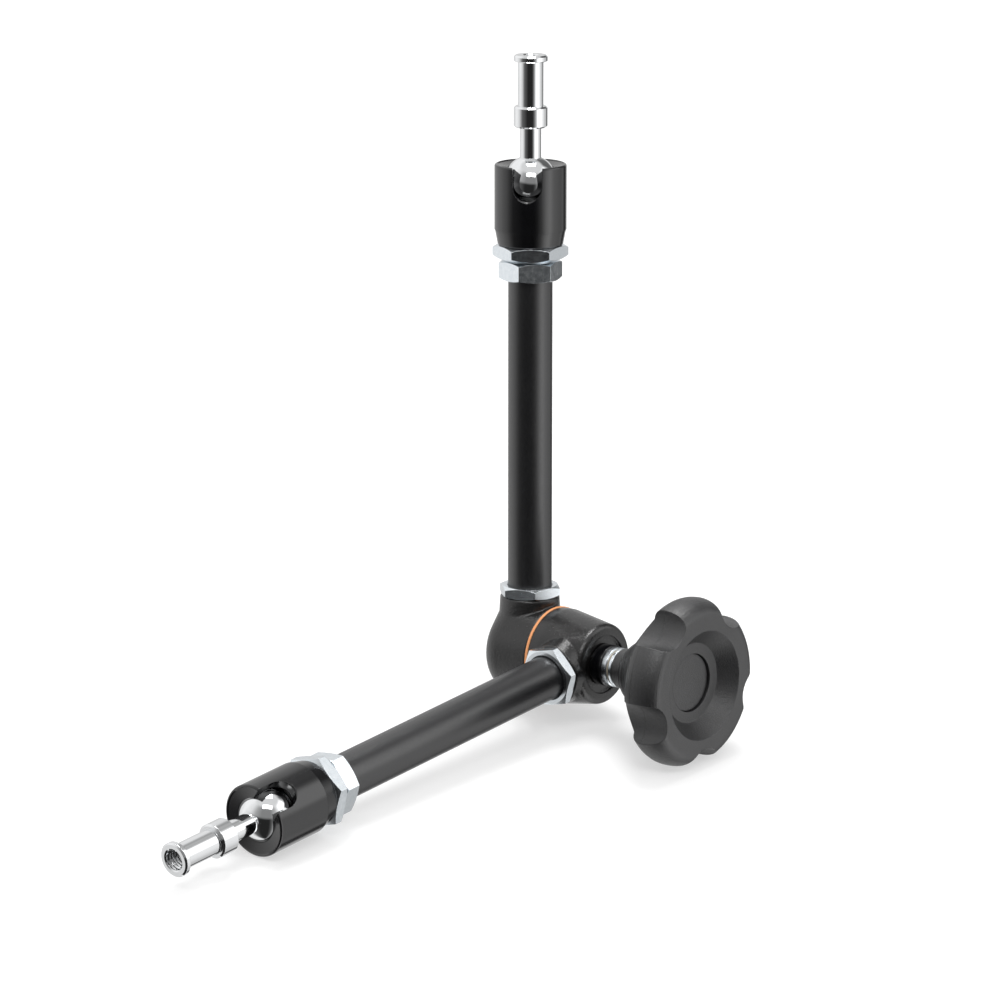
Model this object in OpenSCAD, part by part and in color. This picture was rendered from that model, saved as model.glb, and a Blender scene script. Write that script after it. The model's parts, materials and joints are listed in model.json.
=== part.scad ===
// Articulating friction arm: two tubular arms hinged at a central hub that one
// hand knob locks, with a ball stud in a slotted socket at the end of each arm.
// The arm is modelled in the pose in which it stands by itself: the knob, the
// rear housing and the lower socket touch the ground at z = 0.

/* [Studs] */
// Diameter of the flange and the collar that a 16 mm socket takes
stud_d = 16; // [14:0.5:18]
// Diameter of the waist between the flange and the collar
waist_d = 12; // [9:0.5:13]
// Length of the flange at the tip
flange_len = 3; // [2:0.5:5]
// Length of the waist
waist_len = 21; // [14:0.5:30]
// Length of the collar
collar_len = 10; // [6:0.5:14]
// Diameter of the neck between the collar and the ball
neck_d = 10; // [8:0.5:11]
// From the inner end of the collar to the centre of the ball
neck_len = 26; // [24:0.5:34]
// Diameter of the ball
ball_d = 25.4; // [24:0.2:26]
// Edge chamfer on the flange and the collar
stud_chamfer = 0.8; // [0.3:0.1:1.2]
// Thread hole in the tip of the upper stud, 1/4 inch
upper_thread_d = 6.35; // [5:0.05:8]
// Thread hole in the tip of the lower stud, 3/8 inch
lower_thread_d = 9.5; // [8:0.1:10]
// Depth of both thread holes
thread_hole_len = 14; // [8:0.5:18]

/* [Sockets] */
// Wall of the socket round the ball
socket_wall = 4.2; // [3.4:0.1:6]
// Length of the straight part of the socket
socket_len = 31; // [29:0.5:36]
// Depth of the ball's centre below the rim
ball_depth = 8.75; // [8:0.05:10]
// Diameter of the throat that keeps the ball in, as a share of the ball's
throat_share = 0.83; // [0.78:0.01:0.86]
// Rounding of the rim's outer edge
rim_edge = 1; // [0.5:0.1:1.2]
// Width of the bevel between the rim and the conical mouth
mouth_lip = 0.5; // [0.3:0.1:0.8]
// Width of the side slot that lets the neck swing down
slot_w = 14; // [12:0.5:15]
// Which way the upper slot faces, round the upper arm
upper_slot_angle = 214; // [0:1:359]
// Which way the lower slot faces, round the lower arm
lower_slot_angle = -42; // [-180:1:180]
// Length of the tapered base below the socket
base_len = 7.3; // [5:0.1:10]
// How much the base narrows on each side towards its lower end
base_taper = 1.5; // [0.5:0.1:2.5]
// Distance from the ball's seat to the thread that joins the base to the socket
thread_wall = 1.2; // [0.8:0.1:1.6]
// Length of that thread
base_thread_len = 6; // [4:0.5:6.5]

/* [Arms] */
// Outer diameter of the tubes
tube_d = 21; // [19:0.5:22]
// Wall of the tubes
tube_wall = 2; // [1.5:0.1:2.5]
// Length of tube that shows between its two nuts
tube_show_len = 147.9; // [100:0.1:300]
// Distance of each arm from the middle of the hub
arm_offset = 16.5; // [16:0.1:17]
// Angle between the two arms in this pose
elbow_angle = 97; // [60:1:120]
// Across the flats of the nut at the hub
hub_nut_flats = 26.6; // [25:0.1:28]
// Thickness of the nut at the hub
hub_nut_t = 5.3; // [4:0.1:7]
// How far each tube goes into its housing
tube_grip_len = 10; // [8:0.5:12]
// Across the flats of the end fitting
fitting_flats = 26.3; // [24:0.1:28]
// Length of the hexagon of the end fitting
fitting_hex_len = 9.2; // [6:0.1:12]
// Thread that shows between the end fitting and the lock nut
fitting_show_len = 1.2; // [0.6:0.1:3]
// Diameter of the threaded neck of the end fitting
fitting_neck_d = 20; // [16:0.5:22]
// How far the end fitting's plug goes into the tube
fitting_plug_len = 14; // [8:0.5:24]
// Thickness of the lock nut
lock_nut_t = 6.3; // [4:0.1:8]
// Turn of the upper arm's nut at the hub
upper_hub_nut_turn = 49.5; // [0:0.5:60]
// Turn of the upper arm's end fitting
upper_fitting_turn = 18.7; // [0:0.1:60]
// Turn of the upper arm's lock nut
upper_lock_nut_turn = 10; // [0:0.5:60]
// Turn of the lower arm's nut at the hub
lower_hub_nut_turn = 40.7; // [0:0.1:60]
// Turn of the lower arm's end fitting
lower_fitting_turn = 34; // [0:0.5:60]
// Turn of the lower arm's lock nut
lower_lock_nut_turn = 42; // [0:0.5:60]

/* [Hub] */
// Diameter of the two housings at the friction ring
hub_d = 45.6; // [44:0.2:52]
// Diameter of the front housing at its front face
front_d = 39; // [36:0.5:44]
// Length of each housing along the hinge
housing_len = 29.2; // [28.6:0.1:34]
// Diameter of the bosses that take the tubes
boss_d = 28.4; // [27:0.2:30]
// Distance of the upper arm's boss end from the hinge axis
upper_boss_reach = 26.6; // [25:0.1:34]
// Distance of the lower arm's boss end from the hinge axis
lower_boss_reach = 22.4; // [22:0.1:34]
// Width of the shoulder behind each boss, across the hinge
shoulder_w = 32.2; // [30:0.2:34]
// Depth of the shoulder along the hinge
shoulder_depth = 27; // [26:0.2:28]
// Distance of the shoulder from the boss's end
shoulder_drop = 7.4; // [5:0.1:9]
// Rounding of the rear housing's back edge
back_round = 10; // [6:0.5:12]
// Rounding of the front housing's front edge
front_round = 2.7; // [1:0.1:4]
// Thickness of the friction ring
ring_t = 1.6; // [1:0.1:2.5]
// How far the friction ring stands proud of the housings
ring_proud = 0.25; // [0.1:0.05:0.6]
// Diameter of the bore along the hinge
hinge_bore_d = 17.6; // [17:0.1:19]
// Diameter of the recess round the washers in the front face
face_recess_d = 28; // [26:0.5:34]
// Depth of that recess
face_recess_depth = 1.6; // [0.5:0.1:2]

/* [Clamp] */
// Diameter of the draw spindle
spindle_d = 8; // [6:0.5:8]
// Diameter of the push rods in the tubes
rod_d = 8; // [6:0.5:8]
// Slope of the cones that drive the push rods
cone_angle = 30; // [25:1:35]
// Diameter of each cone under the middle of its push rod
cone_mid_d = 11; // [10:0.5:12]
// Diameter of the black thrust collar that stands in the front recess
thrust_d = 19.8; // [18:0.2:23]
// Length of the thrust collar
thrust_len = 6.1; // [4:0.1:8]
// Gap between the floor of the recess and the thrust collar
thrust_gap = 0.4; // [0.3:0.1:1]
// Diameter of the wide zinc washer
washer_d = 19; // [17:0.2:23]
// Thickness of the wide zinc washer
washer_t = 3.3; // [2:0.1:4]
// Diameter of the nylon bearing ring
bearing_d = 16.4; // [14:0.2:18]
// Thickness of the nylon bearing ring
bearing_t = 1; // [0.8:0.1:2]
// Diameter of the thin zinc ring
spacer_d = 18.8; // [17:0.2:23]
// Thickness of the thin zinc ring
spacer_t = 1.8; // [0.8:0.1:2.5]

/* [Knob] */
// Diameter over the lobes
knob_d = 80; // [70:1:90]
// Diameter of the neck
knob_neck_d = 19.2; // [19:0.2:24]
// Length of the neck
knob_neck_len = 4.5; // [3:0.5:8]
// Diameter of the collar behind the rim
knob_collar_d = 29; // [26:0.5:32]
// Distance of the collar's end from the foot of the neck
knob_collar_z = 11.8; // [11:0.1:18]
// Distance of the widest line, where the two halves meet, from the foot
knob_seam_z = 36.2; // [34:0.1:42]
// Distance of the front face from the foot of the neck
knob_face_z = 49; // [46:0.1:56]
// Diameter at which the front face starts to round off
knob_face_d = 66; // [60:1:72]
// Number of finger hollows
hollow_count = 5; // [4:1:7]
// Radius of each finger hollow
hollow_r = 11.7; // [8:0.1:13]
// Distance of the finger hollows' centres from the axis
hollow_centre_r = 42.3; // [40:0.1:50]
// Turn of the lowest finger hollow from straight down
hollow_turn = -2; // [-15:1:15]
// Diameter of the dish at the front face
dish_d = 52.2; // [46:0.2:58]
// Diameter of the flat floor of the dish
dish_floor_d = 38; // [34:0.5:44]
// Depth of the dish
dish_depth = 8; // [5:0.1:9]
// Diameter of the round cap
cap_d = 27.6; // [22:0.2:30]
// Thickness of the cap
cap_t = 2; // [1.5:0.1:3]
// Depth of the cap's face below the floor of the dish
cap_drop = 1.4; // [0.5:0.1:2]
// Across the flats of the nut moulded into the knob
knob_nut_flats = 14; // [13:0.5:15]
// Length of that nut
knob_nut_len = 20; // [14:0.5:24]

/* [Hidden] */

$fn = 64;
e = 0.01;

// Clearances, in mm
thread_fit = 0.05;
sliding_fit = 0.1;
ball_fit = 0.1;
cup_gap = 0.15;
contact_gap = 0.3;
knob_gap = 0.2;
release_room = 1.5;

// Places along the upper arm, from the hinge axis outwards. The lower arm is the
// same, but boss_step nearer to the axis.
boss_step = upper_boss_reach - lower_boss_reach;
tube_root = upper_boss_reach - tube_grip_len;
tube_top = upper_boss_reach + hub_nut_t + tube_show_len;
lock_nut_z = tube_top + fitting_hex_len + fitting_show_len;
base_z = lock_nut_z + lock_nut_t;
socket_z = base_z + base_len;
rim_z = socket_z + socket_len;
ball_z = rim_z - ball_depth;
stud_z = ball_z + neck_len;
tip_z = stud_z + collar_len + waist_len + flange_len;
seat_r = ball_d / 2 + ball_fit;
socket_d = 2 * (seat_r + socket_wall);
throat_d = ball_d * throat_share;
mouth_d = socket_d - 2 * (rim_edge + mouth_lip);
base_end_d = socket_d - 2 * base_taper;
lock_nut_flats = base_end_d;
base_thread_d = 2 * (seat_r + thread_wall);
throat_h = sqrt(seat_r * seat_r - throat_d * throat_d / 4);
base_top_z = socket_z + base_thread_len;
cup_floor_t = 1.9;
cup_z = ball_z - seat_r - cup_gap - cup_floor_t;
cup_wall_h = 5.5;
neck_grip_len = 6;

// Places along the hinge, from the middle of the friction ring to the knob
face_z = ring_t / 2 + housing_len;
recess_z = face_z - face_recess_depth;
thrust_z = recess_z + thrust_gap;
washer_z = thrust_z + thrust_len;
bearing_z = washer_z + washer_t;
spacer_z = bearing_z + bearing_t;
knob_z = spacer_z + spacer_t + knob_gap;
spindle_end_z = knob_z + knob_seam_z - 4;
cone_r = hinge_bore_d / 2 - thread_fit;
cone_len = (cone_r - cone_mid_d / 2) / tan(cone_angle);
guide_len = 4;
rod_tip_r = cone_mid_d / 2 + (rod_d / 2 + contact_gap) / cos(cone_angle);

// Half angle of a finger hollow at the widest line. The lowest one spans the
// ground, so the knob stands on the edges of the lobes beside it.
hollow_half = acos((knob_d * knob_d / 4 + hollow_centre_r * hollow_centre_r - hollow_r * hollow_r)
                   / (knob_d * hollow_centre_r));
knob_reach = knob_d / 2 * cos(max(0, hollow_half - abs(hollow_turn)));

// The hinge tips back until the knob and the rear housing both touch the ground
contact_run = knob_z + knob_seam_z + face_z - back_round;
contact_rise = knob_reach - (hub_d / 2 - back_round);
tilt = atan(contact_rise / contact_run)
       - asin(back_round / sqrt(contact_run * contact_run + contact_rise * contact_rise));
hinge_height = (face_z - back_round) * sin(tilt) + (hub_d / 2 - back_round) * cos(tilt) + back_round;

// The lower arm droops until its socket's rim touches the ground
arm_height = hinge_height + arm_offset * sin(tilt);
lower_rim_z = rim_z - boss_step;
slope = asin(arm_height / sqrt(lower_rim_z * lower_rim_z + socket_d * socket_d / 4))
        - atan(socket_d / 2 / lower_rim_z);
droop = asin(sin(slope) / cos(tilt));

// Middle of the part's footprint, which becomes the origin
lean = elbow_angle - 90 - droop;
x_min = -(tip_z - boss_step) * cos(droop) - stud_d / 2 * sin(droop);
x_max = knob_d / 2;
y_min = -(knob_z + knob_face_z) * cos(tilt) - knob_face_d / 2 * sin(tilt);
y_max = arm_offset * cos(tilt) + tip_z * cos(lean) * sin(tilt) + stud_d / 2 * cos(tilt);
origin_shift = [-(x_min + x_max) / 2, -(y_min + y_max) / 2, hinge_height];

// Frames: z runs along the arm, or along the hinge towards the knob
module rest() {
    translate(origin_shift) rotate([-tilt, 0, 0]) rotate([0, -droop, 0]) children();
}

module lower_frame() {
    rest() translate([0, -arm_offset, 0]) rotate([0, -90, 0]) children();
}

// The lower arm's own parts, which stand boss_step nearer to the hinge
module lower_arm() {
    lower_frame() translate([0, 0, -boss_step]) children();
}

module upper_frame() {
    rest() translate([0, arm_offset, 0]) rotate([0, elbow_angle - 90, 0]) children();
}

module hinge_frame() {
    rest() rotate([90, 0, 0]) children();
}

// Shapes that repeat
module turned(points) {
    rotate_extrude() polygon(points);
}

// Hexagon with both ends chamfered
module hexagon(flats, length) {
    corner_r = flats / sqrt(3);
    end_r = flats / 2 - 0.4;
    chamfer = (corner_r - end_r) * tan(25);
    intersection() {
        cylinder(r = corner_r, h = length, $fn = 6);
        turned([[0, 0], [end_r, 0], [corner_r, chamfer], [corner_r, length - chamfer],
                [end_r, length], [0, length]]);
    }
}

module hex_nut(flats, length, bore_d) {
    lead_in = 0.6;
    difference() {
        hexagon(flats, length);
        translate([0, 0, -e]) cylinder(d = bore_d + 2 * thread_fit, h = length + 2 * e);
        for (end = [0, 1])
            translate([0, 0, end * length]) mirror([0, 0, end]) translate([0, 0, -e])
                cylinder(d1 = bore_d + 2 * lead_in + 2 * thread_fit, d2 = bore_d, h = lead_in);
    }
}

module ring(outer_d, inner_d, length, edge = 0.2) {
    turned([[inner_d / 2, 0], [outer_d / 2 - edge, 0], [outer_d / 2, edge],
            [outer_d / 2, length - edge], [outer_d / 2 - edge, length], [inner_d / 2, length]]);
}

// Tubular arm, built along z
module tube() {
    color("#2b2b2e")
    difference() {
        translate([0, 0, tube_root]) cylinder(d = tube_d, h = tube_top - tube_root);
        translate([0, 0, tube_root - e])
            cylinder(d = tube_d - 2 * tube_wall, h = tube_top - tube_root + 2 * e);
    }
}

module hub_nut(turn) {
    color("#c9ced2")
    translate([0, 0, upper_boss_reach]) rotate(turn) hex_nut(hub_nut_flats, hub_nut_t, tube_d);
}

module end_fitting(turn) {
    plug_r = tube_d / 2 - tube_wall - thread_fit;
    neck_top = base_z + neck_grip_len;
    color("#c9ced2")
    difference() {
        union() {
            translate([0, 0, tube_top - fitting_plug_len]) cylinder(r = plug_r, h = fitting_plug_len + e);
            translate([0, 0, tube_top]) rotate(turn) hexagon(fitting_flats, fitting_hex_len);
            translate([0, 0, tube_top + fitting_hex_len - e])
                cylinder(d = fitting_neck_d, h = neck_top - tube_top - fitting_hex_len);
        }
        translate([0, 0, tube_top - fitting_plug_len - e])
            cylinder(d = rod_d + 2 * sliding_fit, h = neck_top - tube_top + fitting_plug_len + 2 * e);
    }
}

module lock_nut(turn) {
    color("#c9ced2")
    translate([0, 0, lock_nut_z]) rotate(turn) hex_nut(lock_nut_flats, lock_nut_t, fitting_neck_d);
}

// Tapered base that closes the socket from below once the ball is in
module socket_base() {
    edge = 0.6;
    color("#1c1c1f")
    difference() {
        turned([[0, base_z], [base_end_d / 2 - edge, base_z], [base_end_d / 2, base_z + edge],
                [socket_d / 2 - 0.3, socket_z - 0.3], [socket_d / 2 - 0.3, socket_z],
                [base_thread_d / 2, socket_z], [base_thread_d / 2, base_top_z], [0, base_top_z]]);
        translate([0, 0, base_z - e])
            cylinder(d = fitting_neck_d + 2 * thread_fit, h = neck_grip_len + thread_fit + e);
        translate([0, 0, base_z - e])
            cylinder(d = rod_d + 2 * sliding_fit, h = base_top_z - base_z + 2 * e);
    }
}

// Socket: ball seat, throat, conical mouth and the round-bottomed side slot
module socket(slot_angle) {
    slot_edge = 0.8;
    shoulder_z = rim_z - rim_edge;
    color("#1c1c1f")
    difference() {
        rotate_extrude() union() {
            polygon([[0, socket_z], [socket_d / 2, socket_z], [socket_d / 2, shoulder_z],
                     [socket_d / 2 - rim_edge, shoulder_z], [socket_d / 2 - rim_edge, rim_z],
                     [0, rim_z]]);
            translate([socket_d / 2 - rim_edge, shoulder_z]) circle(r = rim_edge, $fn = 32);
        }
        translate([0, 0, ball_z]) sphere(r = seat_r);
        translate([0, 0, socket_z - e]) cylinder(r = seat_r, h = ball_z - socket_z + e);
        translate([0, 0, socket_z - e])
            cylinder(d = base_thread_d + 2 * thread_fit, h = base_thread_len + 0.5);
        translate([0, 0, ball_z + throat_h])
            cylinder(d1 = throat_d, d2 = mouth_d, h = ball_depth - throat_h - mouth_lip + e);
        translate([0, 0, rim_z - mouth_lip])
            cylinder(d1 = mouth_d, d2 = mouth_d + 2 * mouth_lip, h = mouth_lip + e);
        rotate(slot_angle) translate([0, 0, ball_z]) {
            rotate([0, 90, 0]) cylinder(d = slot_w, h = socket_d);
            translate([0, -slot_w / 2, 0]) cube([socket_d, slot_w, socket_len]);
            translate([socket_d / 2, 0, 0]) rotate([0, 90, 0])
                cylinder(d1 = slot_w - 2, d2 = slot_w + 6 * slot_edge, h = 3 * slot_edge + 1, center = true);
        }
    }
}

// Cup that the push rod presses against the ball
module pressure_cup() {
    cup_r = seat_r - contact_gap;
    color("#1a1a1c")
    difference() {
        translate([0, 0, cup_z]) cylinder(r = cup_r, h = cup_floor_t + cup_wall_h);
        translate([0, 0, ball_z]) sphere(r = seat_r + cup_gap);
    }
}

module push_rod(tip_r) {
    color("#a8abb0")
    union() {
        translate([0, 0, tip_r]) cylinder(d = rod_d, h = cup_z - tip_r);
        translate([0, 0, tip_r]) sphere(d = rod_d);
    }
}

module ball() {
    color("#e4e6e8")
    translate([0, 0, ball_z])
    difference() {
        union() {
            sphere(d = ball_d);
            cylinder(d = neck_d, h = neck_len + collar_len / 2);
        }
        translate([0, 0, neck_len]) cylinder(d = neck_d + 1, h = collar_len);
    }
}

// Stud with its collar, waist and flange, and the thread hole in its tip
module stud(thread_d) {
    c = stud_chamfer;
    r = stud_d / 2;
    w = waist_d / 2;
    collar_top = stud_z + collar_len;
    flange_z = collar_top + waist_len;
    color("#e4e6e8")
    difference() {
        turned([[0, stud_z], [r - c, stud_z], [r, stud_z + c], [r, collar_top - c], [r - c, collar_top],
                [w, collar_top], [w, flange_z], [r - c / 2, flange_z], [r, flange_z + c / 2],
                [r, tip_z - c], [r - c, tip_z], [0, tip_z]]);
        translate([0, 0, tip_z - thread_hole_len]) cylinder(d = thread_d, h = thread_hole_len + e);
        translate([0, 0, tip_z - 0.6]) cylinder(d1 = thread_d, d2 = thread_d + 1.4, h = 0.6 + e);
    }
}

// Cast housing: a hub on the hinge, blended over a shoulder into the boss that
// takes the tube, and spot-faced under its nut. Here z runs along the arm and the hinge runs along y, away from
// the ring at +y.
module housing(reach, end_d, edge_round) {
    inner_y = ring_t / 2 - arm_offset;
    straight_len = 5;
    boss_edge = 0.5;
    spot_d = hub_nut_flats / cos(30) + 1;
    fine = 72;
    coarse = 32;
    color("#242426")
    difference() {
        union() {
            hull() {
                shoulder(reach);
                translate([0, inner_y, 0]) rotate([-90, 0, 0]) {
                    cylinder(d = hub_d, h = straight_len, $fn = fine);
                    translate([0, 0, housing_len - edge_round])
                        rotate_extrude($fn = fine) intersection() {
                            translate([end_d / 2 - edge_round, 0]) circle(r = edge_round, $fn = coarse);
                            square([hub_d, hub_d]);
                        }
                }
            }
            hull() {
                shoulder(reach);
                translate([0, 0, reach - 1 - boss_edge]) cylinder(d = boss_d, h = 1, $fn = fine);
                translate([0, 0, reach - 1]) cylinder(d = boss_d - 2 * boss_edge, h = 1, $fn = fine);
            }
        }
        translate([0, 0, reach - tube_grip_len]) cylinder(d = tube_d + 2 * thread_fit, h = reach);
        translate([0, 0, reach]) cylinder(d = spot_d, h = hub_nut_t);
        cylinder(d = rod_d + 2 * sliding_fit, h = reach);
    }
}

module shoulder(reach) {
    thickness = 1;
    translate([0, 0, reach - shoulder_drop - thickness])
        scale([shoulder_w / shoulder_depth, 1, 1]) cylinder(d = shoulder_depth, h = thickness, $fn = 72);
}

module front_housing() {
    color("#242426")
    difference() {
        lower_frame() mirror([0, 1, 0]) housing(lower_boss_reach, front_d, front_round);
        hinge_frame() {
            translate([0, 0, ring_t / 2 - 1]) cylinder(d = hinge_bore_d, h = housing_len + 2);
            translate([0, 0, recess_z]) cylinder(d = face_recess_d, h = face_recess_depth + 1);
        }
    }
}

module rear_housing() {
    bore_len = arm_offset + cone_len + guide_len + release_room;
    color("#242426")
    difference() {
        upper_frame() housing(upper_boss_reach, hub_d, back_round);
        hinge_frame() translate([0, 0, -bore_len]) cylinder(d = hinge_bore_d, h = bore_len);
    }
}

module friction_ring() {
    color("#e8873a")
    hinge_frame() translate([0, 0, -ring_t / 2 + 0.05])
        ring(hub_d + 2 * ring_proud, hinge_bore_d, ring_t - 0.1, 0.3);
}

// Spindle with the rear cone; the knob's nut pulls it forwards
module draw_spindle() {
    small_r = spindle_d / 2;
    cone_tip = -arm_offset + (cone_mid_d / 2 - small_r) / tan(cone_angle);
    cone_end = -arm_offset - cone_len;
    color("#a8abb0")
    hinge_frame()
        turned([[0, cone_end - guide_len], [cone_r - 0.5, cone_end - guide_len],
                [cone_r, cone_end - guide_len + 0.5], [cone_r, cone_end], [small_r, cone_tip],
                [small_r, spindle_end_z - 0.8], [small_r - 0.8, spindle_end_z], [0, spindle_end_z]]);
}

// Sleeve with the front cone; the washers push it backwards
module cone_sleeve() {
    bore_r = spindle_d / 2 + sliding_fit;
    tip_wall = 0.8;
    cone_tip = arm_offset - (cone_mid_d / 2 - bore_r - tip_wall) / tan(cone_angle);
    color("#a8abb0")
    hinge_frame()
        turned([[bore_r, cone_tip], [bore_r + tip_wall, cone_tip], [cone_r, arm_offset + cone_len],
                [cone_r, thrust_z], [bore_r, thrust_z]]);
}

module thrust_collar() {
    color("#1c1c1f")
    hinge_frame() translate([0, 0, thrust_z]) ring(thrust_d, spindle_d + 2 * sliding_fit, thrust_len, 0.5);
}

module wide_washer() {
    color("#d3d7da")
    hinge_frame() translate([0, 0, washer_z]) ring(washer_d, spindle_d + 2 * sliding_fit, washer_t, 0.5);
}

module thin_spacer() {
    color("#d3d7da")
    hinge_frame() translate([0, 0, spacer_z]) ring(spacer_d, spindle_d + 2 * sliding_fit, spacer_t, 0.3);
}

module bearing_ring() {
    color("#cdb99a")
    hinge_frame() translate([0, 0, bearing_z]) ring(bearing_d, spindle_d + 2 * sliding_fit, bearing_t, 0.4);
}

// Outline of the knob, from the foot of the neck to the front face
function rim_curve(steps) =
    [for (i = [0:steps]) let (t = 90 * i / steps)
        [knob_face_d / 2 + (knob_d - knob_face_d) / 2 * cos(t),
         knob_seam_z + (knob_face_z - knob_seam_z) * sin(t)]];

function back_curve(steps) =
    let (back_run = 6, back_drop = 5)
    [for (i = [0:steps - 1]) let (t = 90 * i / steps)
        [knob_d / 2 - back_drop * (1 - sin(t)), knob_seam_z - back_run * cos(t)]];

module knob_outline() {
    neck_r = knob_neck_d / 2;
    collar_r = knob_collar_d / 2;
    polygon(concat([[0, 0], [neck_r - 0.4, 0], [neck_r, 0.4], [neck_r, knob_neck_len],
                    [neck_r + 1.2, knob_neck_len + 1.5], [neck_r + 3.2, knob_neck_len + 2.6],
                    [collar_r - 0.4, knob_collar_z - 3.2], [collar_r, knob_collar_z - 1.8],
                    [collar_r + 1.5, knob_collar_z]],
                   back_curve(6), rim_curve(10), [[0, knob_face_z]]));
}

module finger_hollows() {
    for (i = [0:hollow_count - 1])
        rotate(hollow_turn - 90 - droop + i * 360 / hollow_count) translate([hollow_centre_r, 0, -1])
            cylinder(r = hollow_r, h = knob_face_z + 2);
}

// One half of the knob: the part of the whole outline between two heights
module knob_half(from_z, to_z) {
    difference() {
        rotate_extrude() intersection() {
            knob_outline();
            translate([0, from_z]) square([knob_d, to_z - from_z]);
        }
        finger_hollows();
    }
}

module knob_rear_half() {
    color("#2c2c2f")
    hinge_frame() translate([0, 0, knob_z])
    difference() {
        knob_half(0, knob_seam_z);
        translate([0, 0, -e]) cylinder(d = knob_nut_flats / cos(30) + 2 * thread_fit,
                                       h = knob_nut_len + e, $fn = 6);
        cylinder(d = spindle_d + 1, h = knob_seam_z + e);
    }
}

module knob_front_half() {
    floor_z = knob_face_z - dish_depth;
    color("#2c2c2f")
    hinge_frame() translate([0, 0, knob_z])
    difference() {
        knob_half(knob_seam_z, knob_face_z);
        translate([0, 0, floor_z]) cylinder(d1 = dish_floor_d, d2 = dish_d, h = dish_depth + e);
        translate([0, 0, floor_z - cap_drop - cap_t])
            cylinder(d = cap_d + 2 * sliding_fit, h = cap_drop + cap_t + e);
    }
}

module knob_nut() {
    color("#b08d57")
    hinge_frame() translate([0, 0, knob_z])
    difference() {
        cylinder(d = knob_nut_flats / cos(30), h = knob_nut_len, $fn = 6);
        translate([0, 0, -e]) cylinder(d = spindle_d + 2 * thread_fit, h = knob_nut_len + 2 * e);
    }
}

module knob_cap() {
    color("#353538")
    hinge_frame() translate([0, 0, knob_z + knob_face_z - dish_depth - cap_drop - cap_t])
        ring(cap_d, 0, cap_t, 0.3);
}

module lower_tube() { lower_arm() tube(); }
module lower_hub_nut() { lower_arm() hub_nut(lower_hub_nut_turn); }
module lower_end_fitting() { lower_arm() end_fitting(lower_fitting_turn); }
module lower_lock_nut() { lower_arm() lock_nut(lower_lock_nut_turn); }
module lower_socket_base() { lower_arm() socket_base(); }
module lower_socket() { lower_arm() socket(lower_slot_angle); }
module lower_pressure_cup() { lower_arm() pressure_cup(); }
module lower_push_rod() { lower_arm() push_rod(rod_tip_r + boss_step); }
module lower_ball() { lower_arm() ball(); }
module lower_stud() { lower_arm() stud(lower_thread_d); }

module upper_tube() { upper_frame() tube(); }
module upper_hub_nut() { upper_frame() hub_nut(upper_hub_nut_turn); }
module upper_end_fitting() { upper_frame() end_fitting(upper_fitting_turn); }
module upper_lock_nut() { upper_frame() lock_nut(upper_lock_nut_turn); }
module upper_socket_base() { upper_frame() socket_base(); }
module upper_socket() { upper_frame() socket(upper_slot_angle); }
module upper_pressure_cup() { upper_frame() pressure_cup(); }
module upper_push_rod() { upper_frame() push_rod(rod_tip_r); }
module upper_ball() { upper_frame() ball(); }
module upper_stud() { upper_frame() stud(upper_thread_d); }

front_housing();
rear_housing();
friction_ring();
lower_tube();
lower_hub_nut();
lower_end_fitting();
lower_lock_nut();
lower_socket_base();
lower_socket();
lower_pressure_cup();
lower_push_rod();
lower_ball();
lower_stud();
upper_tube();
upper_hub_nut();
upper_end_fitting();
upper_lock_nut();
upper_socket_base();
upper_socket();
upper_pressure_cup();
upper_push_rod();
upper_ball();
upper_stud();
draw_spindle();
cone_sleeve();
thrust_collar();
wide_washer();
bearing_ring();
thin_spacer();
knob_rear_half();
knob_front_half();
knob_nut();
knob_cap();
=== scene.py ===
import json
import math

import bpy
from mathutils import Matrix, Vector


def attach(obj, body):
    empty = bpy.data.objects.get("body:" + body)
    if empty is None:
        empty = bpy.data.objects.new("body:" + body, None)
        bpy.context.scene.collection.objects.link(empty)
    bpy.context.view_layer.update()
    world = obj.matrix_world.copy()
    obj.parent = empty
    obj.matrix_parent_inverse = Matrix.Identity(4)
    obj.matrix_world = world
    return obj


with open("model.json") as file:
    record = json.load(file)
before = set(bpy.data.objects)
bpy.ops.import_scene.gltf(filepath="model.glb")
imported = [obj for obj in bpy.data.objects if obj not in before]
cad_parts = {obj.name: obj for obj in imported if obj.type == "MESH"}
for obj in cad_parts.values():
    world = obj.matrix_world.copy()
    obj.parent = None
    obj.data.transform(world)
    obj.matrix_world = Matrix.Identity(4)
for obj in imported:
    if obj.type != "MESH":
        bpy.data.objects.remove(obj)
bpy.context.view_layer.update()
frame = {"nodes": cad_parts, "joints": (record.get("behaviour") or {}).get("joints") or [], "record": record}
scene = bpy.context.scene
MM = 0.001

joints = {j["name"]: j for j in frame["joints"]}
mounts = {m["name"]: m for m in frame["record"]["mounts"]}
nodes = frame["nodes"]

hinge = Vector(joints["knob_turn"]["pos_m"])
to_knob = Vector(joints["knob_turn"]["axis"]).normalized()
arm_axis = {side: Vector(mounts[side + "_stud"]["axis"]).normalized() for side in ("upper", "lower")}
arm_point = {side: Vector(mounts[side + "_stud"]["pos_m"]) for side in ("upper", "lower")}


def tip(side):
    """Centre of the tip face of a stud."""
    along = (Vector(mounts[side + "_tip_face"]["pos_m"]) - arm_point[side]).dot(arm_axis[side])
    return arm_point[side] + arm_axis[side] * along


# ---------------------------------------------------------------- camera
AZIMUTH = -51.327
ELEVATION = 21.918
ROLL = 4.762
DISTANCE = 2.330
TARGET = Vector((0.10489, 0.04135, 0.10009))
LENS = 177.4
SENSOR_WIDTH = 36
CLIP_NEAR, CLIP_FAR = 0.05, 50


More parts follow.
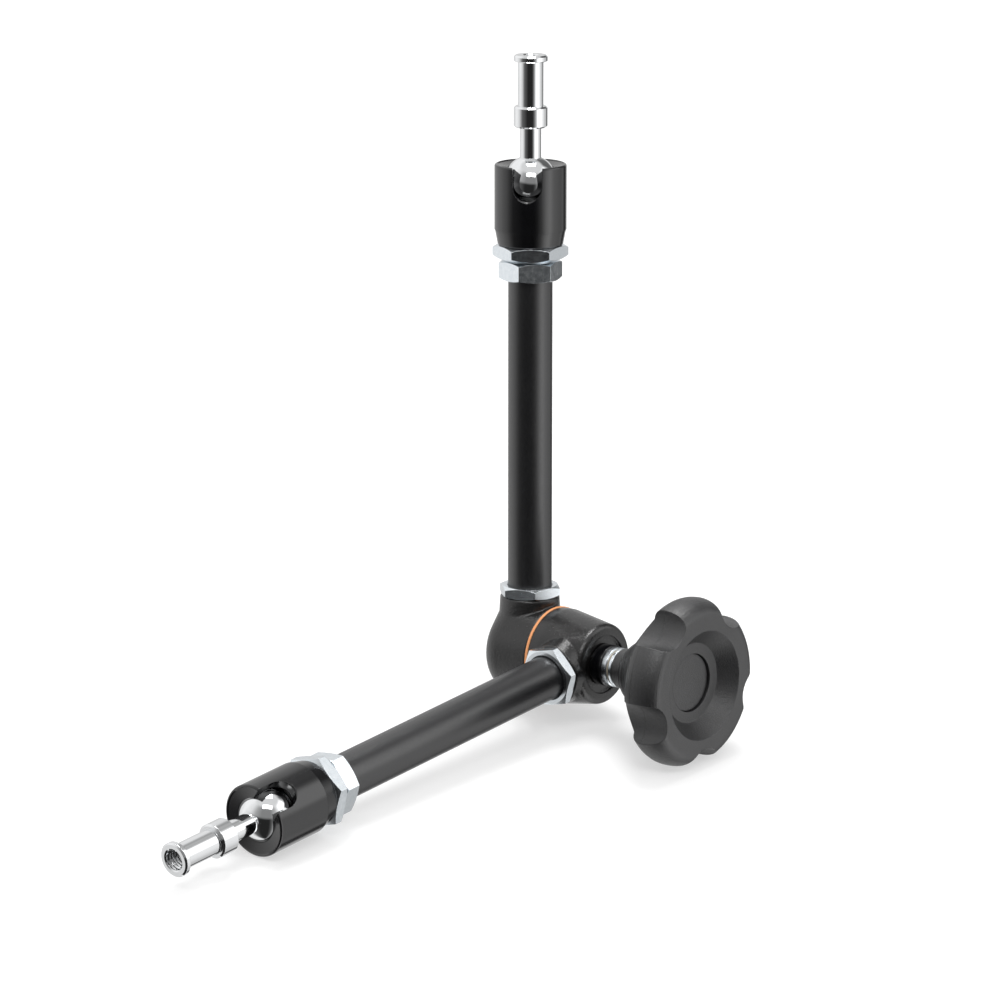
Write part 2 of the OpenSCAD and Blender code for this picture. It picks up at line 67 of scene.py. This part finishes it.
def turned_frame(azimuth, elevation, roll):
    """Right, up and back of a camera, from its angles in degrees."""
    a, e, r = (math.radians(v) for v in (azimuth, elevation, roll))
    back = Vector((math.sin(a) * math.cos(e), -math.cos(a) * math.cos(e), math.sin(e)))
    level = Vector((math.cos(a), math.sin(a), 0))
    rise = back.cross(level)
    right = level * math.cos(r) + rise * math.sin(r)
    up = rise * math.cos(r) - level * math.sin(r)
    return right, up, back


cam_right, cam_up, cam_back = turned_frame(AZIMUTH, ELEVATION, ROLL)
cam = bpy.data.objects.new("camera", bpy.data.cameras.new("camera"))
scene.collection.objects.link(cam)
cam.data.lens = LENS
cam.data.sensor_width = SENSOR_WIDTH
cam.data.clip_start = CLIP_NEAR
cam.data.clip_end = CLIP_FAR
pose = Matrix((cam_right, cam_up, cam_back)).transposed().to_4x4()
pose.translation = TARGET + cam_back * DISTANCE
cam.matrix_world = pose
scene.camera = cam
scene.view_settings.view_transform = "Standard"


# ---------------------------------------------------------------- materials
BEVEL_SAMPLES = 6


class Shader:
    """Small helper round one material's node tree."""

    def __init__(self, name):
        self.material = bpy.data.materials.new(name)
        self.material.use_nodes = True
        self.tree = self.material.node_tree
        self.bsdf = self.tree.nodes["Principled BSDF"]
        self.where = self.add("ShaderNodeTexCoord").outputs["Object"]

    def add(self, kind, **settings):
        node = self.tree.nodes.new(kind)
        for key, value in settings.items():
            setattr(node, key, value)
        return node

    def link(self, a, b):
        self.tree.links.new(a, b)

    def put(self, socket, value):
        if isinstance(value, bpy.types.NodeSocket):
            self.link(value, socket)
        else:
            socket.default_value = value

    def maths(self, operation, a, b=0.0):
        node = self.add("ShaderNodeMath", operation=operation)
        for socket, value in zip(node.inputs, (a, b)):
            self.put(socket, value)
        return node.outputs[0]

    def noise(self, scale, detail, roughness=0.5):
        node = self.add("ShaderNodeTexNoise")
        self.link(self.where, node.inputs["Vector"])
        node.inputs["Scale"].default_value = scale
        node.inputs["Detail"].default_value = detail
        node.inputs["Roughness"].default_value = roughness
        return node.outputs["Fac"]

    def along(self, origin, axis):
        """Distance along an axis of the part, in metres."""
        node = self.add("ShaderNodeVectorMath", operation="DOT_PRODUCT")
        self.link(self.where, node.inputs[0])
        node.inputs[1].default_value = axis
        return self.maths("SUBTRACT", node.outputs["Value"], origin.dot(axis))

    def rings(self, origin, axis, scale):
        """Fine turning marks round an axis."""
        node = self.add("ShaderNodeTexNoise", noise_dimensions="1D")
        self.link(self.along(origin, axis), node.inputs["W"])
        node.inputs["Scale"].default_value = scale
        node.inputs["Detail"].default_value = 3
        return node.outputs["Fac"]

    def span(self, value, low, high, from_low=0.3, from_high=0.7):
        """Spread a value over low to high. Noise lies mostly between 0.3 and 0.7."""
        node = self.add("ShaderNodeMapRange")
        self.put(node.inputs["Value"], value)
        limits = {"From Min": from_low, "From Max": from_high, "To Min": low, "To Max": high}
        for key, number in limits.items():
            node.inputs[key].default_value = number
        return node.outputs["Result"]

    def blend(self, factor, a, b):
        node = self.add("ShaderNodeMix", data_type="RGBA")
        self.put(node.inputs[0], factor)
        self.put(node.inputs[6], a)
        self.put(node.inputs[7], b)
        return node.outputs[2]

    def bump(self, height, distance, strength=1.0, normal=None):
        node = self.add("ShaderNodeBump")
        self.link(height, node.inputs["Height"])
        node.inputs["Distance"].default_value = distance
        node.inputs["Strength"].default_value = strength
        if normal is not None:
            self.link(normal, node.inputs["Normal"])
        return node.outputs["Normal"]

    def soft_edge(self, radius):
        """Edges shaded as if they had a small radius."""
        node = self.add("ShaderNodeBevel", samples=BEVEL_SAMPLES)
        node.inputs["Radius"].default_value = radius
        return node.outputs["Normal"]

    def finish(self, colour, rough, normal=None, **sockets):
        self.put(self.bsdf.inputs["Base Color"], colour)
        self.put(self.bsdf.inputs["Roughness"], rough)
        if normal is not None:
            self.link(normal, self.bsdf.inputs["Normal"])
        for key, value in sockets.items():
            self.bsdf.inputs[key.replace("_", " ")].default_value = value
        return self.material


def rgb(r, g, b):
    return (r, g, b, 1.0)


def grey(level):
    return rgb(level, level, level)


def tube_black():
    s = Shader("tube_black")
    cloud = s.noise(60, 3)
    colour = s.blend(s.span(cloud, 0, 1), rgb(0.005, 0.005, 0.006), rgb(0.008, 0.008, 0.009))
    grain = s.bump(s.noise(5200, 2), 0.012 * MM, 0.5)
    return s.finish(colour, s.span(s.noise(900, 2), 0.30, 0.38), grain, Specular_IOR_Level=1.0)


def socket_black(name, origin, axis):
    """Turned and polished black, with its marks round the given axis."""
    s = Shader("socket_black_" + name)
    marks = s.rings(origin, axis, 9000)
    cloud = s.span(s.noise(80, 2), 0, 1)
    colour = s.blend(cloud, rgb(0.0025, 0.0025, 0.003), rgb(0.004, 0.004, 0.005))
    normal = s.bump(marks, 0.003 * MM, 0.5, s.soft_edge(0.3 * MM))
    return s.finish(colour, s.span(marks, 0.10, 0.18), normal, Specular_IOR_Level=0.8)


def hub_black():
    """Painted casting: a fine pebble over a broad waviness."""
    s = Shader("hub_black")
    cast = s.noise(1000, 3, 0.6)
    broad = s.noise(260, 2)
    colour = s.blend(s.span(broad, 0, 1), rgb(0.006, 0.006, 0.006), rgb(0.010, 0.009, 0.009))
    pebble = s.bump(cast, 0.16 * MM, 1.0, s.soft_edge(1.4 * MM))
    normal = s.bump(broad, 0.08 * MM, 0.6, pebble)
    return s.finish(colour, s.span(cast, 0.14, 0.28), normal, Specular_IOR_Level=0.7)


def zinc():
    s = Shader("zinc")
    streaks = s.noise(420, 4, 0.7)
    fine = s.noise(2600, 3, 0.6)
    colour = s.blend(s.span(streaks, 0, 1), rgb(0.74, 0.79, 0.83), rgb(0.85, 0.89, 0.92))
    normal = s.bump(fine, 0.03 * MM, 0.6, s.soft_edge(0.2 * MM))
    return s.finish(colour, s.span(streaks, 0.16, 0.26), normal, Metallic=1.0)


def chrome(side):
    s = Shader("chrome_" + side)
    marks = s.rings(arm_point[side], arm_axis[side], 5000)
    cloud = s.span(s.noise(50, 2), 0, 1)
    colour = s.blend(cloud, rgb(0.80, 0.81, 0.82), rgb(0.87, 0.88, 0.89))
    normal = s.bump(marks, 0.002 * MM, 0.4, s.soft_edge(0.2 * MM))
    return s.finish(colour, s.span(s.noise(700, 3), 0.05, 0.10), normal, Metallic=1.0)


def machined(name, dark, pale, rough_low, rough_high, **sockets):
    """Plain fine-grained surface of the pieces held inside."""
    s = Shader(name)
    grain = s.noise(2500, 3)
    colour = s.blend(s.span(s.noise(150, 2), 0, 1), dark, pale)
    rough = s.span(grain, rough_low, rough_high)
    return s.finish(colour, rough, s.bump(grain, 0.01 * MM, 0.4), **sockets)


def cup_black():
    return machined("cup_black", grey(0.006), grey(0.010), 0.36, 0.46)


def steel():
    return machined("steel", rgb(0.48, 0.49, 0.51), rgb(0.60, 0.61, 0.62), 0.26, 0.38, Metallic=1.0)


def brass():
    return machined("brass", rgb(0.66, 0.50, 0.26), rgb(0.76, 0.60, 0.34), 0.26, 0.38, Metallic=1.0)


def friction_orange():
    s = Shader("friction_orange")
    fibre = s.noise(3000, 4, 0.7)
    colour = s.blend(s.span(fibre, 0, 1), rgb(0.88, 0.34, 0.12), rgb(0.97, 0.44, 0.19))
    return s.finish(colour, s.span(fibre, 0.5, 0.65), s.bump(fibre, 0.03 * MM, 0.5))


def bearing_beige():
    s = Shader("bearing_beige")
    grain = s.noise(1800, 3)
    colour = s.blend(s.span(grain, 0, 1), rgb(0.62, 0.51, 0.38), rgb(0.74, 0.63, 0.48))
    return s.finish(colour, s.span(grain, 0.38, 0.5), s.bump(grain, 0.02 * MM, 0.4))


def seam_height():
    """Distance of the knob's parting line from the hinge's middle."""
    corners = [v.co for v in nodes["knob_rear_half"].data.vertices]
    return max((c - hinge).dot(to_knob) for c in corners)


SEAM_SHADE_CORE, SEAM_SHADE_EDGE = 0.12 * MM, 0.3 * MM  # half width of the painted seam shade line, and where it has faded


def knob_black(name, light):
    """Fine-grained moulding with a painted shade line where the halves meet, standing in for the shade in
    the groove between them.
    """
    s = Shader(name)
    grain = s.noise(1500, 3, 0.65)
    cloud = s.noise(70, 3)
    dark = rgb(0.010 * light, 0.010 * light, 0.011 * light)
    pale = rgb(0.016 * light, 0.016 * light, 0.017 * light)
    colour = s.blend(s.span(cloud, 0, 1), dark, pale)
    off_seam = s.maths("ABSOLUTE", s.maths("SUBTRACT", s.along(hinge, to_knob), seam_height()))
    painted_seam_shade = s.span(off_seam, 1, 0, SEAM_SHADE_CORE, SEAM_SHADE_EDGE)
    # Painted shade: the colour is darkened along the seam, where the groove between the halves would lie in
    # shade.
    colour = s.blend(painted_seam_shade, colour, grey(0.006))
    normal = s.bump(grain, 0.18 * MM, 1.0, s.soft_edge(0.6 * MM))
    return s.finish(colour, s.span(grain, 0.34, 0.50), normal, Specular_IOR_Level=1.0)


finish_of = {
    "tube_black": {None: tube_black()},
    "socket_black": {None: socket_black("hub", hinge, to_knob),
                     "upper": socket_black("upper", arm_point["upper"], arm_axis["upper"]),
                     "lower": socket_black("lower", arm_point["lower"], arm_axis["lower"])},
    "hub_black": {None: hub_black()},
    "zinc": {None: zinc()},
    "chrome": {"upper": chrome("upper"), "lower": chrome("lower")},
    "cup_black": {None: cup_black()},
    "steel": {None: steel()},
    "brass": {None: brass()},
    "friction_orange": {None: friction_orange()},
    "bearing_beige": {None: bearing_beige()},
    "knob_black": {None: knob_black("knob_black", 1.0)},
    "cap_black": {None: knob_black("cap_black", 1.15)},
}


def finish(slot, name):
    """The material of a slot, in its upper or lower version where it has both."""
    versions = finish_of[slot]
    side = name.split("_")[0]
    return versions.get(side) or versions[None]


for part in frame["record"]["subparts"]:
    node = nodes[part["node"]]
    node.data.materials.clear()
    node.data.materials.append(finish(part["material_slot"], part["node"]))


# ---------------------------------------------------------------- threads
def basis(axis):
    """Two directions at right angles to an axis."""
    first = axis.orthogonal().normalized()
    return first, axis.cross(first)


THREAD_STEPS = 40      # points in one turn
THREAD_FLANK = 0.42    # half width of the ridge, as a share of the pitch
THREAD_ROOT = 0.1 * MM  # how far its foot is sunk in the wall
THREAD_FADE = THREAD_STEPS / 3  # steps over which it rises at each end


def thread(name, start, axis, radius, depth, pitch, length, body, slot):
    """A helical ridge of triangular section. A negative depth makes it an internal thread."""
    steps = THREAD_STEPS
    across, beside = basis(axis)
    count = max(2, round(length / pitch * steps)) + 1
    half = pitch * THREAD_FLANK
    sunk = -math.copysign(THREAD_ROOT, depth)
    points = []
    for i in range(count):
        turn = 2 * math.pi * i / steps
        out = across * math.cos(turn) + beside * math.sin(turn)
        fade = min(1, i / THREAD_FADE, (count - 1 - i) / THREAD_FADE)
        middle = start + axis * (pitch * i / steps)
        for reach, shift in ((sunk, -half), (depth * fade, 0), (sunk, half)):
            points.append(middle + out * (radius + reach) + axis * shift)
    faces = []
    for i in range(count - 1):
        a, b = 3 * i, 3 * i + 3
        for k in range(3):
            n = (k + 1) % 3
            faces.append((a + k, b + k, b + n, a + n))
    faces.append((0, 1, 2))
    faces.append((3 * count - 1, 3 * count - 2, 3 * count - 3))
    mesh = bpy.data.meshes.new(name)
    mesh.from_pydata(points, [], faces)
    mesh.validate()
    mesh.update()
    piece = bpy.data.objects.new(name, mesh)
    scene.collection.objects.link(piece)
    mesh.materials.append(finish(slot, name))
    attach(piece, body)


# Radius, depth, pitch and length: a quarter inch thread in the upper tip, three eighths in the lower
TIP_THREADS = {"upper": (3.175 * MM, -0.55 * MM, 1.27 * MM, 11.4 * MM),
               "lower": (4.75 * MM, -0.75 * MM, 1.588 * MM, 11.2 * MM)}
TIP_THREAD_START = 12.5 * MM  # below the tip face

for side, sizes in TIP_THREADS.items():
    foot = tip(side) - arm_axis[side] * TIP_THREAD_START
    thread(side + "_tip_thread", foot, arm_axis[side], *sizes, side + "_stud", "chrome")


def ends_along(name, side):
    """The two ends of a node along its arm, as points on the arm's axis."""
    reach = [(v.co - arm_point[side]).dot(arm_axis[side]) for v in nodes[name].data.vertices]
    return [arm_point[side] + arm_axis[side] * value for value in (min(reach), max(reach))]


# The short thread that shows between an end fitting and its lock nut
NECK_THREAD = (10 * MM, 0.3 * MM, 0.55 * MM, 1.1 * MM)
NECK_THREAD_START = 1.15 * MM  # below the nut

for side in ("upper", "lower"):
    foot = ends_along(side + "_lock_nut", side)[0] - arm_axis[side] * NECK_THREAD_START
    thread(side + "_neck_thread", foot, arm_axis[side], *NECK_THREAD, side + "_arm", "zinc")


# ---------------------------------------------------------------- stage and light
def stage_plane(name, size, z):
    mesh = bpy.data.meshes.new(name)
    h = size / 2
    mesh.from_pydata([(-h, -h, z), (h, -h, z), (h, h, z), (-h, h, z)], [], [(0, 1, 2, 3)])
    piece = bpy.data.objects.new(name, mesh)
    scene.collection.objects.link(piece)
    return piece


FLOOR_SIZE = 12.0
FLOOR_ALBEDO = 0.50
FLOOR_ROUGHNESS = 0.9
FLOOR_LIFT = 0.53  # glow that only the camera sees: it takes the floor to white and leaves the shadows


def floor_material():
    s = Shader("floor")
    s.finish(grey(FLOOR_ALBEDO), FLOOR_ROUGHNESS)
    path = s.add("ShaderNodeLightPath")
    s.bsdf.inputs["Emission Color"].default_value = grey(1)
    lift = s.maths("MULTIPLY", path.outputs["Is Camera Ray"], FLOOR_LIFT)
    s.link(lift, s.bsdf.inputs["Emission Strength"])
    return s.material


floor = stage_plane("floor", FLOOR_SIZE, 0.0)
floor.data.materials.append(floor_material())
floor.visible_glossy = False


# The room as the metal and the black pieces mirror it, by direction round the object: degrees to the
# right of the camera's side, and brightness. One ring for rays that rise, one for those that fall.
ROOM_HIGH = ((-180, 0.8), (-150, 1.0), (-100, 1.0), (-70, 0.8), (-45, 0.4), (-20, 0.25), (20, 0.25),
             (45, 0.5), (60, 1.0), (75, 1.6), (108, 1.7), (118, 0.7), (130, 0.12), (160, 0.15),
             (172, 0.5), (180, 0.8))
ROOM_LOW = ((-180, 0.7), (-144, 0.75), (-105, 1.0), (-80, 0.75), (-64, 0.3), (-55, 0.12), (-40, 0.08),
            (-22, 0.02), (14, 0.02), (24, 0.1), (38, 0.5), (52, 1.5), (65, 2.0), (80, 1.2), (100, 0.8),
            (112, 0.6), (126, 0.6), (133, 0.1), (148, 0.1), (156, 0.8), (180, 0.7))
ROOM_TOP = 2.0       # the brightest stop: the ramps hold shares of it
ROOM_CEILING = 0.75
HIGH_FROM, HIGH_GAIN = 0.08, 6        # rise of a ray where the high ring begins to take over, and how fast
CEILING_FROM, CEILING_GAIN = 0.72, 8  # the same for the ceiling


def room():
    """White to the camera, and the rings above to everything else."""
    world = bpy.data.worlds.new("room")
    scene.world = world
    world.use_nodes = True
    tree = world.node_tree
    background = tree.nodes["Background"]

    def add(kind, **settings):
        node = tree.nodes.new(kind)
        for key, value in settings.items():
            setattr(node, key, value)
        return node

    def dot(vector):
        node = add("ShaderNodeVectorMath", operation="DOT_PRODUCT")
        tree.links.new(direction, node.inputs[0])
        node.inputs[1].default_value = vector
        return node.outputs["Value"]

    def maths(operation, a, b=0.0, clamp=False):
        node = add("ShaderNodeMath", operation=operation, use_clamp=clamp)
        for socket, value in zip(node.inputs, (a, b)):
            if isinstance(value, bpy.types.NodeSocket):
                tree.links.new(value, socket)
            else:
                socket.default_value = value
        return node.outputs[0]

    direction = add("ShaderNodeTexCoord").outputs["Generated"]
    a = math.radians(AZIMUTH)
    side = dot((math.cos(a), math.sin(a), 0))
    near = dot((math.sin(a), -math.cos(a), 0))
    turn = maths("ADD", maths("DIVIDE", maths("ARCTAN2", side, near), 2 * math.pi), 0.5)

    def round_about(stops_wanted):
        """Brightness by direction, from a ring of stops."""
        ramp = add("ShaderNodeValToRGB")
        tree.links.new(turn, ramp.inputs["Fac"])
        stops = ramp.color_ramp.elements
        for degrees, level in stops_wanted:
            value = level / ROOM_TOP
            if abs(degrees) == 180:
                stop = stops[0] if degrees < 0 else stops[-1]
            else:
                stop = stops.new(degrees / 360 + 0.5)
            stop.color = (value, value, value, 1)
        return maths("MULTIPLY", ramp.outputs["Color"], ROOM_TOP)

    def mix(share, a, b):
        rest = maths("MULTIPLY", a, maths("SUBTRACT", 1, share))
        return maths("ADD", rest, maths("MULTIPLY", b, share))

    rise = dot((0, 0, 1))
    above = maths("MULTIPLY", maths("SUBTRACT", rise, HIGH_FROM), HIGH_GAIN, clamp=True)
    over = maths("MULTIPLY", maths("SUBTRACT", rise, CEILING_FROM), CEILING_GAIN, clamp=True)
    mixed = mix(over, mix(above, round_about(ROOM_LOW), round_about(ROOM_HIGH)), ROOM_CEILING)
    seen = add("ShaderNodeLightPath").outputs["Is Camera Ray"]
    tree.links.new(mix(seen, mixed, 1), background.inputs["Strength"])
    background.inputs["Color"].default_value = (1, 1, 1, 1)


room()


LAMP_AIM = Vector((0.05, 0.0, 0.12))


def softbox(name, direction, distance, width, height, power):
    """A rectangular lamp that looks at the object from a direction."""
    light = bpy.data.lights.new(name, "AREA")
    light.shape = "RECTANGLE"
    light.size, light.size_y = width, height
    light.energy = power
    lamp = bpy.data.objects.new(name, light)
    scene.collection.objects.link(lamp)
    lamp.location = LAMP_AIM + direction.normalized() * distance
    lamp.rotation_mode = "QUATERNION"
    lamp.rotation_quaternion = (-direction).to_track_quat("-Z", "Y")


away = Vector((-cam_back.x, -cam_back.y, 0)).normalized()
to_right = Vector((math.cos(math.radians(AZIMUTH)), math.sin(math.radians(AZIMUTH)), 0))
above = Vector((0, 0, 1.0))
softbox("front_light", above - away * 0.75, distance=2.0, width=1.3, height=0.5, power=11)
softbox("top_light", away * 0.3 - to_right * 0.05 + above, distance=1.8, width=0.8, height=0.8, power=22)
